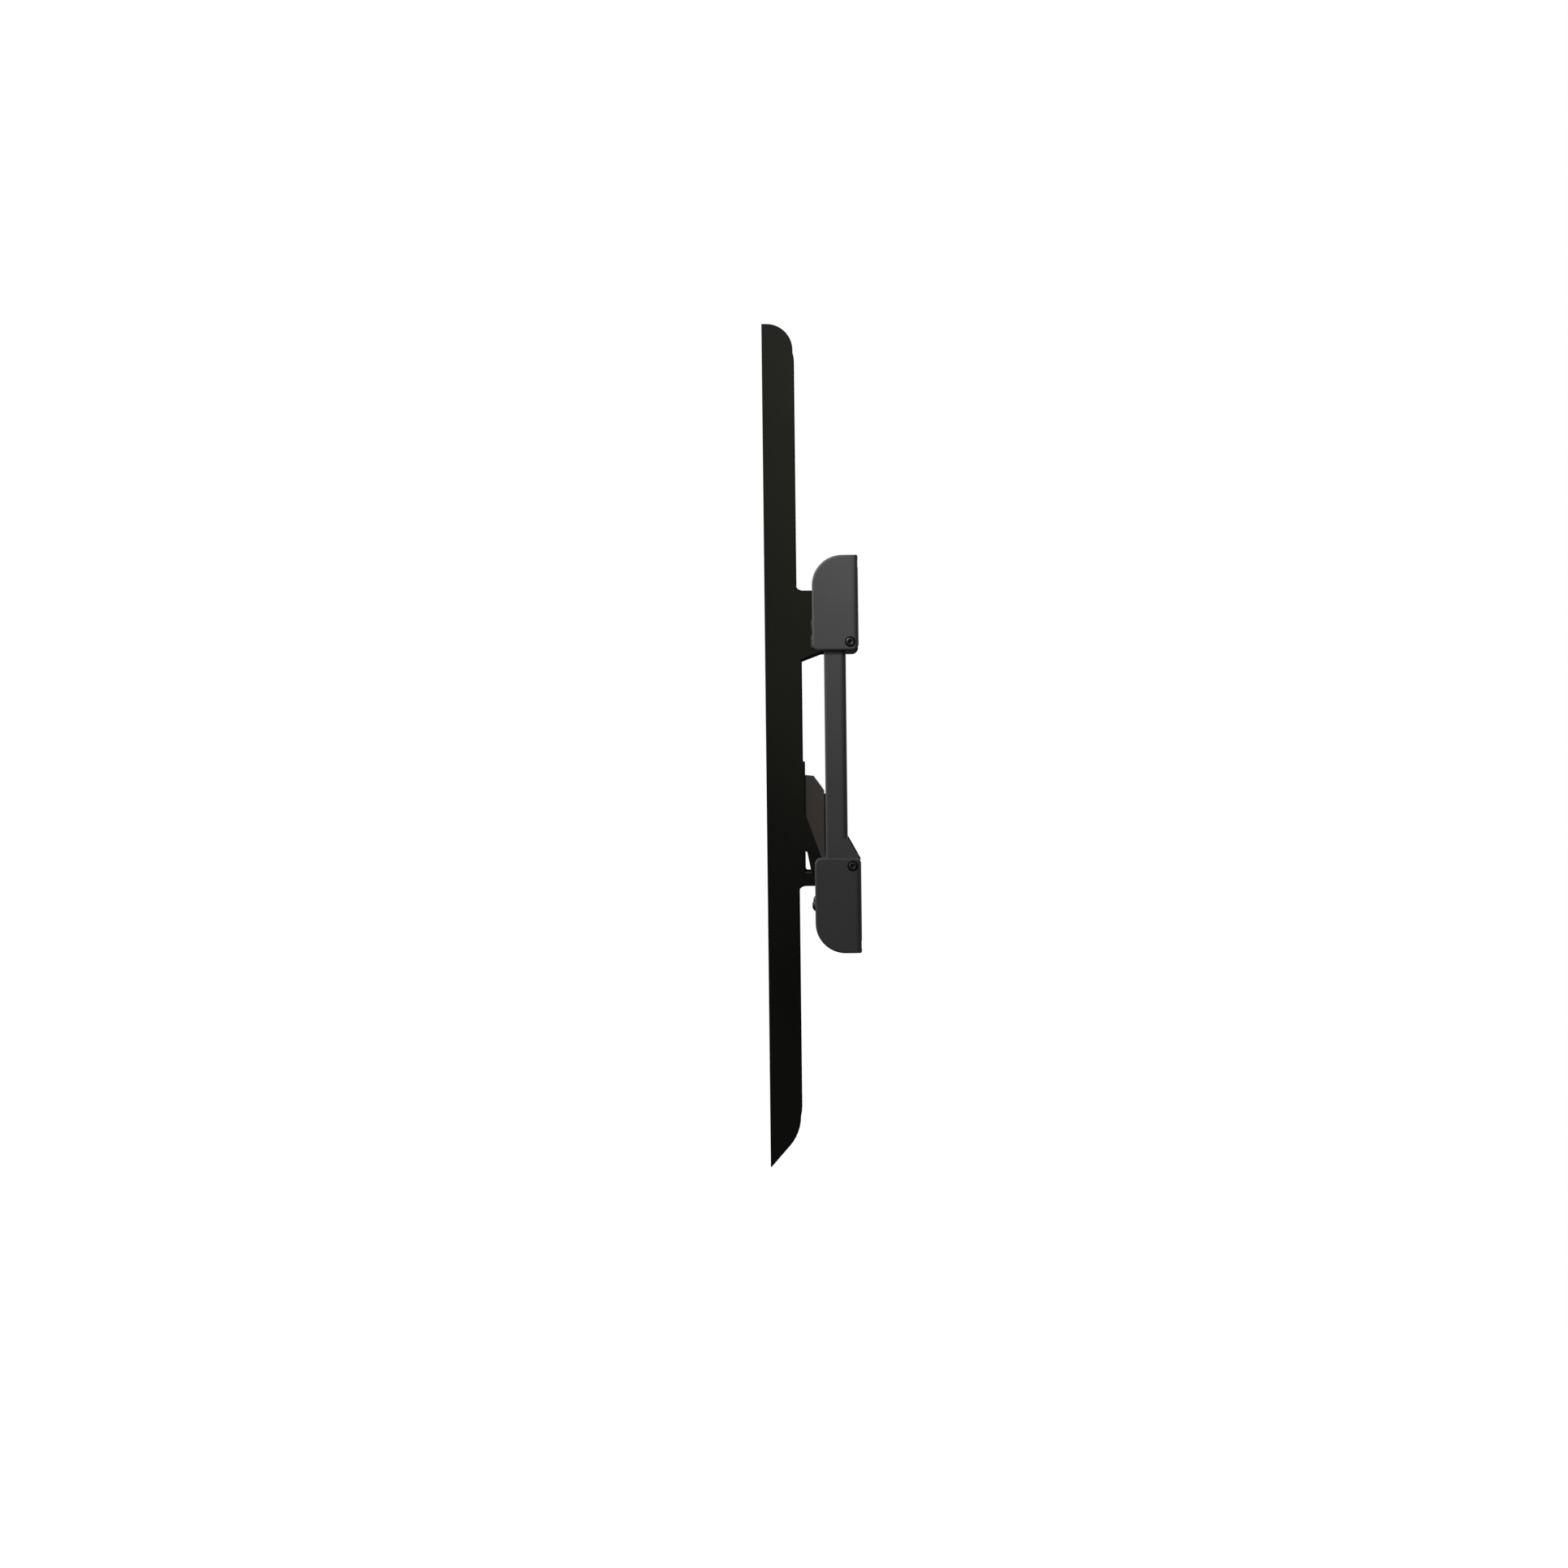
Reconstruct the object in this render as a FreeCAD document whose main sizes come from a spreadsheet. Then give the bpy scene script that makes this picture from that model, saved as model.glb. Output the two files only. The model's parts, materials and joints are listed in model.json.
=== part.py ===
"""Full motion TV wall mount: a parametric FreeCAD document, in millimetres.

The wall is the plane Y = 0 and the television hangs towards -Y. X runs along the wall and Z is up.
The origin is on the wall, at the centre of the four holes for lag bolts. The mount is stored folded:
the inner arms lie above the outer arms in one thin layer between the side posts.
"""
import FreeCAD, Part
import os
import re

import Sketcher

from FreeCAD import Placement, Rotation, Vector

SIZES = {
    # clearances
    "run_gap": 0.05,            # radial gap of a pin that turns in a bush
    "slide_gap": 0.4,           # gap on each side of a hook that slides on a rail
    "washer_gap": 0.1,          # gap on each side of a washer between moving plates
    "fold_gap": 0.4,            # gap in front of and behind the folded arms
    "plate_gap": 0.8,           # space for a washer between a hinge plate and an arm
    "snug_gap": 0.02,           # radial gap of a washer or a screw on its shank
    "key_gap": 0.15,            # gap beside a guide key in its slot
    "pan_gap": 0.3,             # gap above and below the yoke's barrel
    # driving sizes of the whole mount
    "arm_length": 240.0,        # between an arm's two pins
    "arm_tall": 50.0,
    "arm_near": 1.5,            # half of the gap between the upper and the lower arms
    "arm_gauge": 2.5,
    "arm_half_deep": 5.4,
    "arm_web_setback": 9.5,
    "tie_slot_half": 6.0,       # half length of an arm's slots for cable ties
    "tie_slot_tall": 4.0,
    "pivot_x": 45.0,
    "vesa_half": 200.0,         # the television holes are 400 by 400
    "vesa_raise": 5.0,          # their centre is this far above the wall holes' centre
    "lag_half_x": 203.2,        # wall studs 16 inches apart
    # wall rails: channels with their webs on the wall
    "rail_depth": 6.9,
    "rail_gauge": 2.5,
    "rail_tall": 38.0,
    "lag_hole": 4.5,
    "rail_slot_half": 14.0,
    # side posts
    "post_wide": 24.0,
    "post_gauge": 2.5,
    "post_bend": 3.2,
    "post_front_bend": 1.2,
    "flare_drop": 12.5,
    # end caps
    "cap_tall": 50.5,
    "cap_wall": 2.2,
    "cap_bend": 16.0,
    "cap_near_bend": 3.5,
    "cap_edge": 1.2,
    "cap_back_edge": 3.2,
    "cap_slot_gap": 0.4,
    "cap_screw_y": 4.4,
    "cap_screw_head": 2.6,
    "cap_screw_shank": 1.3,
    "cap_screw_sink": 1.4,
    # centre bracket, hinge plates and arm pins
    "bracket_half": 36.0,
    "bracket_gauge": 3.0,
    "plate_thick": 3.0,
    "pin_radius": 3.5,
    "bush_wall": 0.65,
    "bush_collar": 0.5,
    "pin_head": 5.2,
    "pin_head_tall": 1.8,
    "clip_long": 16.0,
    "clip_thick": 1.5,
    "clip_low": 16.0,           # lower edge of a cable clip
    "clip_tall": 21.0,
    "clip_mouth": 7.0,
    # head carrier, pan pivot and pan yoke
    "carrier_gauge": 3.6,
    "carrier_top": 21.4,
    "pan_pin": 3.0,
    "pan_barrel": 4.4,
    "pan_bush_wall": 0.6,
    "pan_bush_long": 6.7,
    "pan_head_tall": 1.6,
    "pan_foot_tall": 1.4,
    "pan_lug_half": 7.0,
    "pan_lug_end": 5.2,
    "pan_lug_thick": 3.0,
    "yoke_gauge": 3.0,
    "yoke_top": 11.2,
    "tilt_y": 15.0,
    "tilt_eye": 4.6,
    "tilt_pin": 2.5,
    "tilt_washer": 5.3,
    "tilt_head_tall": 3.2,
    "tilt_nut_tall": 3.0,
    "yoke_plate": 2.6,
    # frame that carries the television rails
    "frame_gauge": 3.0,
    "face_top": 66.0,
    "face_window": 30.0,
    "face_bottom": 40.0,
    "tv_rail_thick": 3.0,
    "tv_rail_tall": 12.0,
    "lower_rail_tall": 9.0,
    "plug_long": 4.0,
    "plug_wall": 0.6,
    # television brackets
    "vesa_hole": 3.0,
    "tv_gauge": 2.5,
    "lip_deep": 11.0,
    "hook_wide": 13.5,
    "hook_leg": 2.0,
    "low_hook_leg": 4.0,
    "level_travel": 2.0,
    "key_radius": 1.6,
    "key_head": 3.0,
    "knob_radius": 4.5,
    "jack_radius": 2.0,
    "safety_shank": 1.9,
    "safety_head": 3.2,
    "safety_point": 0.7,
    "safety_point_tall": 2.2,
    "safety_collar": 0.8,
    "vesa_slot_half": 3.0,
    "tail_rise": 18.0,          # height of the slope at a television bracket's foot
    "tail_bend": 24.0,
    "crown_bend": 14.0,
}

PLACES = {
    "arm_far": "arm_near+arm_tall",
    "elbow_x": "pivot_x+arm_length",
    "pivot_y": "rail_depth+arm_half_deep+fold_gap",
    "plate_low": "arm_near+arm_gauge+plate_gap",        # near face of the plate by the middle gap
    "plate_high": "arm_far-arm_gauge-plate_gap-plate_thick",
    "plate_end": "arm_half_deep-0.2",
    "post_back": "rail_depth",
    "post_front": "pivot_y+arm_half_deep+fold_gap",
    "post_inner": "elbow_x+arm_half_deep+15.6",
    "post_outer": "post_inner+post_wide",
    "rail_half": "post_outer-post_gauge-1.5",
    "cap_near": "arm_far+3.5",                          # nearer end of a cap, from the centre
    "cap_far": "cap_near+cap_tall",
    "cap_inner": "post_inner-16",
    "cap_outer": "post_outer+cap_wall+0.8",
    "cap_depth": "post_front+cap_wall+3.8",
    "cap_screw_z": "cap_near+cap_screw_head+1.8",
    "rail_bottom": "cap_near+6",
    "rail_top": "rail_bottom+rail_tall",
    "lag_half_z": "rail_bottom+19",
    "bracket_tall": "rail_top-3",
    "post_half": "cap_far-9.5",
    "flare_top": "cap_near-10",
    "flare_foot": "flare_top+flare_drop",
    "carrier_front": "pivot_y+arm_half_deep+1.3",
    "carrier_bottom": "arm_far+2.1",
    "pan_lug_low": "arm_far-1.9",                       # lower face of the lower pan lug
    "pan_y": "carrier_front+pan_barrel+0.5",
    "barrel_low": "-pan_lug_low+pan_lug_thick+pan_gap",
    "barrel_high": "-carrier_top-pan_lug_thick-pan_gap",
    "yoke_front": "pan_y+pan_barrel+1.1",
    "yoke_back": "carrier_front",
    "yoke_half": "pivot_x+11",
    "tilt_z": "arm_far+15.3",
    "frame_half": "yoke_half+tilt_washer+0.1",
    "tilt_head_x": "frame_half+frame_gauge+0.3",
    "frame_front": "tv_face-frame_gauge",
    "frame_back": "bracket_back+2",
    "bracket_back": "yoke_front+3.7",
    "tv_face": "yoke_front+20.2",
    "upper_rail_y": "tilt_y",                           # back of the upper television rail
    "upper_rail_z": "arm_far+22.5",                     # its lower edge
    "lower_rail_y": "tilt_y+tilt_eye+0.4",
    "lower_rail_z": "tilt_z+11.2",                      # its lower edge, below the centre
    "tv_rail_half": "vesa_half+36",
    "vesa_top": "vesa_half+vesa_raise",
    "vesa_bottom": "vesa_half-vesa_raise",
    "web_in": "vesa_half+12",                           # inner face of the bracket's upright web
    "flange_in": "vesa_half-18",
    "tv_top": "vesa_top+25",
    "tv_bottom": "vesa_bottom+25",
    "tab_top": "upper_rail_z+tv_rail_tall+1.5",
    "tab_bottom": "arm_far-0.8",
    "hook_in": "web_in+tv_gauge+1",
    "hook_out": "hook_in+hook_wide",
    "hook_x": "hook_in+hook_wide/2",
    "key_y": "lower_rail_y+1.8",
    "key_z": "upper_rail_z+7",
    "key_low_z": "lower_rail_z-lower_rail_tall-8",
    "knob_y": "upper_rail_y+6.1",
    "knob_low": "arm_far+4.5",
    "knob_high": "upper_rail_z-2",
    "safety_z": "lower_rail_z+safety_shank+0.7",
    "safety_tip": "lower_rail_y+6.2",
}

doc = FreeCAD.newDocument("TvWallMount")
sheet = doc.addObject("Spreadsheet::Sheet", "Sizes")
for row, (alias, number) in enumerate(SIZES.items(), 1):
    sheet.set("A%d" % row, alias)
    sheet.set("B%d" % row, str(number))
    sheet.setAlias("B%d" % row, alias)
doc.recompute()

NODES = {}
SIDES = {"left": -1, "right": 1}


def full(text):
    """An expression in which each place is worked out from sizes, and each size points at the sheet."""
    def spell(match):
        word = match.group()
        if word in PLACES:
            return "(%s)" % full(PLACES[word])
        return "Sizes." + word if word in SIZES else word
    return re.sub(r"[a-z][a-z_]+", spell, text)


def number(text):
    """The present value of an expression."""
    return float(sheet.evalExpression(full(text)))


def keep(name, piece):
    """Name a finished piece, which is written to a file of its own."""
    piece.Label = name
    NODES[name] = piece
    return piece


def across(side, low, high):
    """A span along X on one side of the mount, given as on the right."""
    if side > 0:
        return (low, high)
    return ("-(%s)" % high, "-(%s)" % low)


def block(name, x, y, z):
    """A box between three spans."""
    piece = doc.addObject("Part::Box", name)
    for size, place, span in (("Length", "x", x), ("Width", "y", y), ("Height", "z", z)):
        piece.setExpression(size, full("(%s)-(%s)" % (span[1], span[0])))
        piece.setExpression("Placement.Base." + place, full(span[0]))
    return piece


TURNS = {
    "x": Rotation(Vector(0, 1, 0), 90),
    "y": Rotation(Vector(1, 0, 0), -90),
    "z": Rotation(),
}


def rod(name, axis, span, centre, radius):
    """A cylinder along an axis; centre gives the other two places in X, Y, Z order."""
    piece = doc.addObject("Part::Cylinder", name)
    piece.Placement = Placement(Vector(), TURNS[axis])
    places = dict(zip([letter for letter in "xyz" if letter != axis], centre))
    places[axis] = span[0]
    for letter, text in places.items():
        piece.setExpression("Placement.Base." + letter, full(text))
    piece.setExpression("Radius", full(radius))
    piece.setExpression("Height", full("(%s)-(%s)" % (span[1], span[0])))
    return piece


def cone(name, axis, span, centre, low_radius, high_radius):
    """A cone along an axis, placed as a rod is."""
    piece = doc.addObject("Part::Cone", name)
    piece.Placement = Placement(Vector(), TURNS[axis])
    places = dict(zip([letter for letter in "xyz" if letter != axis], centre))
    places[axis] = span[0]
    for letter, text in places.items():
        piece.setExpression("Placement.Base." + letter, full(text))
    piece.setExpression("Radius1", full(low_radius))
    piece.setExpression("Radius2", full(high_radius))
    piece.setExpression("Height", full("(%s)-(%s)" % (span[1], span[0])))
    return piece


def join(name, pieces):
    """One solid from pieces that touch or overlap."""
    whole = doc.addObject("Part::MultiFuse", name)
    whole.Shapes = pieces
    whole.Refine = True
    return whole


def less(name, base, tools):
    """A base with tools cut out of it."""
    result = doc.addObject("Part::Cut", name)
    result.Base = base
    result.Tool = tools[0] if len(tools) == 1 else join(name + "_tools", tools)
    result.Refine = True
    return result


def group(name, pieces):
    """Identical fasteners in one node, as separate solids."""
    whole = doc.addObject("Part::Compound", name)
    whole.Links = pieces
    return whole


PLANES = {"x": "YZ_Plane", "y": "XZ_Plane", "z": "XY_Plane"}


def profile(name, axis, span, corners):
    """A padded outline. Each corner is (u, v) or (u, v, radius); u, v are in X, Y, Z order."""
    body = doc.addObject("PartDesign::Body", name)
    plane = [item for item in body.Origin.OriginFeatures if item.Role == PLANES[axis]][0]
    sketch = body.newObject("Sketcher::SketchObject", name + "_outline")
    sketch.AttachmentSupport = (plane, "")
    sketch.MapMode = "FlatFace"
    start = "-(%s)" % span[1] if axis == "y" else span[0]
    sketch.setExpression(".AttachmentOffset.Base.z", full(start))
    spots = [(number(corner[0]), number(corner[1])) for corner in corners]
    count = len(corners)
    for index in range(count):
        here, there = spots[index], spots[(index + 1) % count]
        sketch.addGeometry(Part.LineSegment(Vector(*here, 0), Vector(*there, 0)))
    for index in range(count):
        sketch.addConstraint(Sketcher.Constraint("Coincident", index, 2, (index + 1) % count, 1))
    for index, corner in enumerate(corners):
        for kind, text in (("DistanceX", corner[0]), ("DistanceY", corner[1])):
            place = sketch.addConstraint(Sketcher.Constraint(kind, -1, 1, index, 1, 1.0))
            sketch.setExpression("Constraints[%d]" % place, full(text))
    pad = body.newObject("PartDesign::Pad", name + "_pad")
    pad.Profile = sketch
    pad.setExpression("Length", full("(%s)-(%s)" % (span[1], span[0])))
    doc.recompute()
    radii = {}
    for corner, spot in zip(corners, spots):
        if len(corner) > 2:
            radii.setdefault(corner[2], []).append(spot)
    for order, (radius, places) in enumerate(radii.items()):
        tip = body.Tip
        edges = [edge for spot in places for edge in upright_edges(tip.Shape, axis, spot)]
        bend = body.newObject("PartDesign::Fillet", "%s_bend%d" % (name, order))
        bend.Base = (tip, edges)
        bend.setExpression("Radius", full(radius))
        doc.recompute()
    return body


def upright_edges(shape, axis, spot):
    """Names of the edges that run along an axis through a place in the other two directions."""
    names = []
    for index, edge in enumerate(shape.Edges, 1):
        if len(edge.Vertexes) != 2:
            continue
        ends = [vertex.Point for vertex in edge.Vertexes]
        flat = [[getattr(end, letter) for letter in "xyz" if letter != axis] for end in ends]
        if all(abs(a - b) < 1e-4 for end in flat for a, b in zip(end, spot)):
            names.append("Edge%d" % index)
    return names



def wall_rail(name, sign):
    """A shallow channel along the wall, with a slot over each stud."""
    def tall(low, high):
        return (low, high) if sign > 0 else ("-(%s)" % high, "-(%s)" % low)
    length = ("-rail_half", "rail_half")
    web = block(name + "_web", length, ("-rail_gauge", "0"), tall("rail_bottom", "rail_top"))
    near = block(name + "_near", length, ("-rail_depth", "0"), tall("rail_bottom", "rail_bottom+rail_gauge"))
    far = block(name + "_far", length, ("-rail_depth", "0"), tall("rail_top-rail_gauge", "rail_top"))
    centre_z = "%d*lag_half_z" % sign
    holes = []
    for side_name, side in SIDES.items():
        holes.append(rod("%s_%s_hole" % (name, side_name), "y", ("-rail_gauge-1", "1"),
                         ("%d*lag_half_x" % side, centre_z), "lag_hole"))
    for index, place in enumerate(("-lag_half_x*0.6", "0", "lag_half_x*0.6")):
        holes.append(block("%s_slot%d" % (name, index), (place + "-rail_slot_half", place + "+rail_slot_half"),
                           ("-rail_gauge-1", "1"), (centre_z + "-lag_hole", centre_z + "+lag_hole")))
    keep(name, less(name, join(name + "_channel", [web, near, far]), holes))


def side_post(side_name, side):
    """An upright folded channel with a foot that flares back to the wall."""
    name = side_name + "_side_post"
    def x(text):
        return "%d*(%s)" % (side, text)
    channel = profile(name + "_channel", "z", ("-post_half", "post_half"), [
        (x("post_outer"), "-post_back", "post_bend"), (x("post_outer"), "-post_front", "post_front_bend"),
        (x("post_inner"), "-post_front"), (x("post_inner"), "-post_front+post_gauge"),
        (x("post_outer-post_gauge"), "-post_front+post_gauge"),
        (x("post_outer-post_gauge"), "-post_back-post_gauge", "post_bend-post_gauge"),
        (x("post_inner"), "-post_back-post_gauge"), (x("post_inner"), "-post_back")])
    sheet_x = across(side, "post_outer-post_gauge", "post_outer")
    joined = "-post_back-post_bend-0.5"
    foot = profile(name + "_foot", "x", sheet_x, [
        (joined, "-post_half"), ("0", "-post_half"), ("0", "-flare_foot"), ("-post_back", "-flare_top"),
        (joined, "-flare_top")])
    ear = block(name + "_ear", sheet_x, (joined, "0"), ("cap_near+cap_wall+0.3", "post_half"))
    holes = [rod("%s_hole%d" % (name, sign), "x", across(side, "post_outer-post_gauge-1", "post_outer+1"),
                 ("-cap_screw_y", "%d*cap_screw_z" % sign), "cap_screw_shank") for sign in (1, -1)]
    keep(name, less(name, join(name + "_folds", [channel, foot, ear]), holes))


def end_cap(side_name, side, level_name, sign):
    """A moulded cover over the end of a wall rail and of the side post."""
    name = "%s_%s_end_cap" % (level_name, side_name)
    def tall(text):
        return "%d*(%s)" % (sign, text)
    shell = profile(name + "_shell", "x", across(side, "cap_inner", "cap_outer"), [
        ("0", tall("cap_near"), "cap_near_bend"), ("0", tall("cap_far"), "cap_edge"),
        ("-cap_depth", tall("cap_far"), "cap_bend"), ("-cap_depth", tall("cap_near"), "cap_near_bend")])
    rim = number("%d*cap_outer" % side)
    before = shell.Tip
    edges = ["Edge%d" % index for index, line in enumerate(before.Shape.Edges, 1)
             if all(abs(vertex.Point.x - rim) < 1e-4 for vertex in line.Vertexes)]
    edge = shell.newObject("PartDesign::Fillet", name + "_rim")
    edge.Base = (before, edges)
    edge.setExpression("Radius", full("cap_edge"))
    doc.recompute()
    ends = tuple(sorted((tall("cap_near-1"), tall("cap_far+1")), key=number))
    corner = block(name + "_corner", across(side, "cap_outer-cap_back_edge", "cap_outer+1"),
                   ("-cap_back_edge", "1"), ends)
    round_edge = rod(name + "_round", "z", ends,
                     ("%d*(cap_outer-cap_back_edge)" % side, "-cap_back_edge"), "cap_back_edge")
    back_edge = less(name + "_back_edge", corner, [round_edge])
    hollow_x = across(side, "cap_inner-1", "cap_outer-cap_wall")
    ends = sorted((tall("cap_near+cap_wall"), tall("cap_far-cap_wall")), key=number)
    hollow = profile(name + "_hollow", "x", hollow_x, [
        ("1", ends[0]), ("1", ends[1]),
        ("-cap_depth+cap_wall", ends[1]) + (("cap_bend-cap_wall",) if sign > 0 else ()),
        ("-cap_depth+cap_wall", ends[0]) + (("cap_bend-cap_wall",) if sign < 0 else ())])
    slot_ends = sorted((tall("cap_near-1"), tall("cap_near+cap_wall+1")), key=number)
    slot = block(name + "_slot", across(side, "post_inner-cap_slot_gap", "post_outer+cap_slot_gap"),
                 ("-post_front-cap_slot_gap", "-post_back+cap_slot_gap"), tuple(slot_ends))
    foot = block(name + "_foot_slot",
                 across(side, "post_outer-post_gauge-cap_slot_gap", "post_outer+cap_slot_gap"),
                 ("-post_front", "1"), tuple(slot_ends))
    centre = ("-cap_screw_y", tall("cap_screw_z"))
    bore = rod(name + "_bore", "x", across(side, "post_outer", "cap_outer+1"), centre, "cap_screw_shank")
    sink = rod(name + "_sink", "x", across(side, "cap_outer-cap_screw_sink", "cap_outer+1"), centre,
               "cap_screw_head+0.3")
    tools = [hollow, slot, bore, sink, back_edge]
    if sign < 0:
        tools.append(foot)
    keep(name, less(name, shell, tools))


def end_cap_screws():
    """Small screws that hold the covers to the side posts."""
    screws = []
    for side_name, side in SIDES.items():
        for sign in (1, -1):
            name = "cap_screw_%s%d" % (side_name, sign)
            centre = ("-cap_screw_y", "%d*cap_screw_z" % sign)
            head = rod(name + "_head", "x",
                       across(side, "cap_outer-cap_screw_sink", "cap_outer-0.3"), centre, "cap_screw_head")
            shank = rod(name + "_shank", "x",
                        across(side, "post_outer-8", "cap_outer-cap_screw_sink"), centre,
                        "cap_screw_shank-snug_gap")
            screws.append(join(name, [head, shank]))
    keep("end_cap_screws", group("end_cap_screws", screws))


def hinge_plate(name, z, back):
    """A flat plate with a rounded end over each arm pivot; back is its rear edge."""
    middle = block(name + "_middle", ("-pivot_x", "pivot_x"), ("-pivot_y-plate_end", back), z)
    ends = [rod("%s_%s_end" % (name, side_name), "z", z, ("%d*pivot_x" % side, "-pivot_y"), "plate_end")
            for side_name, side in SIDES.items()]
    return join(name, [middle] + ends)


def pin_holes(name, z, radius):
    """Round holes at the two arm pivots."""
    return [rod("%s_%s" % (name, side_name), "z", z, ("%d*pivot_x" % side, "-pivot_y"), radius)
            for side_name, side in SIDES.items()]


def centre_bracket():
    """The plate that joins both wall rails and carries the inner arms."""
    web = block("centre_web", ("-bracket_half", "bracket_half"),
                ("-rail_depth-bracket_gauge", "-rail_depth"), ("-bracket_tall", "bracket_tall"))
    low = hinge_plate("wall_low_plate", ("plate_low", "plate_low+plate_thick"), "-rail_depth-1")
    high = hinge_plate("wall_high_plate", ("plate_high", "plate_high+plate_thick"), "-rail_depth-1")
    holes = pin_holes("wall_plate_hole", ("plate_low-1", "plate_high+plate_thick+1"), "pin_radius")
    keep("centre_bracket", less("centre_bracket", join("centre_bracket_folds", [web, low, high]), holes))


def pivot_pins(name, sign):
    """The two upright pins at the wall end, or at the head end, of the arms."""
    def tall(low, high):
        return (low, high) if sign > 0 else ("-(%s)" % high, "-(%s)" % low)
    pins = []
    for side_name, side in SIDES.items():
        centre = ("%d*pivot_x" % side, "-pivot_y")
        shank = rod("%s_%s_shank" % (name, side_name), "z", tall("0.4", "arm_far+bush_collar+washer_gap"),
                    centre, "pin_radius")
        head = rod("%s_%s_head" % (name, side_name), "z",
                   tall("arm_far+bush_collar+washer_gap", "arm_far+bush_collar+washer_gap+pin_head_tall-0.4"),
                   centre, "pin_head")
        pins.append(join("%s_%s" % (name, side_name), [shank, head]))
    keep(name, group(name, pins))


def pivot_washers(name, sign):
    """Nylon washers between the hinge plates and the arms."""
    washers = []
    for side_name, side in SIDES.items():
        for place, low, high in (("low", "arm_near+arm_gauge+washer_gap", "plate_low"),
                                 ("high", "plate_high+plate_thick", "arm_far-arm_gauge-washer_gap")):
            span = (low, high) if sign > 0 else ("-(%s)" % high, "-(%s)" % low)
            centre = ("%d*pivot_x" % side, "-pivot_y")
            label = "%s_%s_%s" % (name, side_name, place)
            disc = rod(label + "_disc", "z", span, centre, "plate_end")
            hole = rod(label + "_hole", "z", span, centre, "pin_radius+snug_gap")
            washers.append(less(label, disc, [hole]))
    keep(name, group(name, washers))


def arm(side_name, side, level_name, sign):
    """A folded channel with an eye at each end of both flanges, its bushes and a cable clip."""
    name = "%s_%s_arm" % (side_name, level_name)
    def tall(low, high):
        return (low, high) if sign > 0 else ("-(%s)" % high, "-(%s)" % low)
    front, back = "-pivot_y-arm_half_deep", "-pivot_y+arm_half_deep"
    web = block(name + "_web", across(side, "pivot_x+arm_web_setback", "elbow_x-arm_web_setback"),
                (front, front + "+arm_gauge"), tall("arm_near", "arm_far"))
    pieces = [web]
    layers = (("near", tall("arm_near", "arm_near+arm_gauge")),
              ("far", tall("arm_far-arm_gauge", "arm_far")))
    bushes = []
    for layer, z in layers:
        pieces.append(block("%s_%s_flange" % (name, layer), across(side, "pivot_x", "elbow_x"),
                            (front, back), z))
        for end, x in (("pivot", "pivot_x"), ("elbow", "elbow_x")):
            centre = ("%d*(%s)" % (side, x), "-pivot_y")
            label = "%s_%s_%s" % (name, layer, end)
            pieces.append(rod(label + "_eye", "z", z, centre, "arm_half_deep"))
            sleeve = rod(label + "_sleeve", "z", z, centre, "pin_radius+run_gap+bush_wall")
            bore = rod(label + "_bush_bore", "z", (z[0] + "-1", z[1] + "+1"), centre, "pin_radius+run_gap")
            bushes.append(less(label + "_bush", sleeve, [bore]))
    holes = []
    for end, x in (("pivot", "pivot_x"), ("elbow", "elbow_x")):
        centre = ("%d*(%s)" % (side, x), "-pivot_y")
        holes.append(rod("%s_%s_hole" % (name, end), "z", tall("arm_near-1", "arm_far+1"), centre,
                         "pin_radius+run_gap+bush_wall"))
    for order, share in enumerate((0.25, 0.75)):
        x = "pivot_x+arm_length*%g" % share
        slot_x = across(side, x + "-tie_slot_half", x + "+tie_slot_half")
        for row, low in enumerate(("clip_low", "clip_low+clip_tall-tie_slot_tall")):
            holes.append(block("%s_tie_slot%d%d" % (name, order, row), slot_x,
                               (front + "-1", front + "+arm_gauge+1"), tall(low, low + "+tie_slot_tall")))
    keep(name, less(name, join(name + "_folds", pieces), holes))
    keep(name + "_bushes", group(name + "_bushes", bushes))
    middle = "pivot_x+arm_length/2"
    clip_x = across(side, middle + "-clip_long/2", middle + "+clip_long/2")
    clip_back = back + "-0.6"
    clip_y = (front + "+arm_gauge", clip_back)
    clip = block(name + "_clip_block", clip_x, clip_y, tall("clip_low", "clip_low+clip_tall"))
    mouth = block(name + "_clip_mouth", (clip_x[0] + "-1", clip_x[1] + "+1"),
                  (front + "+arm_gauge+clip_thick", clip_back + "-clip_thick"),
                  tall("clip_low+clip_thick", "clip_low+clip_tall-clip_thick"))
    gap = block(name + "_clip_gap", (clip_x[0] + "-1", clip_x[1] + "+1"),
                (clip_back + "-clip_thick-1", clip_back + "+1"),
                tall("clip_low+clip_mouth", "clip_low+2*clip_mouth"))
    keep("%s_%s_cable_clip" % (side_name, level_name),
         less("%s_%s_cable_clip" % (side_name, level_name), clip, [mouth, gap]))


def elbow(side_name, side):
    """The long pin through both arms of a side, and the nylon washer between them."""
    centre = ("%d*elbow_x" % side, "-pivot_y")
    name = side_name + "_elbow_pin"
    end = "arm_far+washer_gap+bush_collar"
    shank = rod(name + "_shank", "z", ("-(%s)" % end, end), centre, "pin_radius")
    top = rod(name + "_top", "z", (end, end + "+pin_head_tall-0.4"), centre, "pin_head")
    foot = rod(name + "_foot", "z", ("-(%s+pin_head_tall-0.4)" % end, "-(%s)" % end), centre, "pin_head")
    keep(name, join(name, [shank, top, foot]))
    label = side_name + "_elbow_washer"
    disc = rod(label + "_disc", "z", ("-arm_near+washer_gap", "arm_near-washer_gap"), centre, "plate_end")
    hole = rod(label + "_hole", "z", ("-arm_near", "arm_near"), centre, "pin_radius+snug_gap")
    keep(label, less(label, disc, [hole]))


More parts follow.
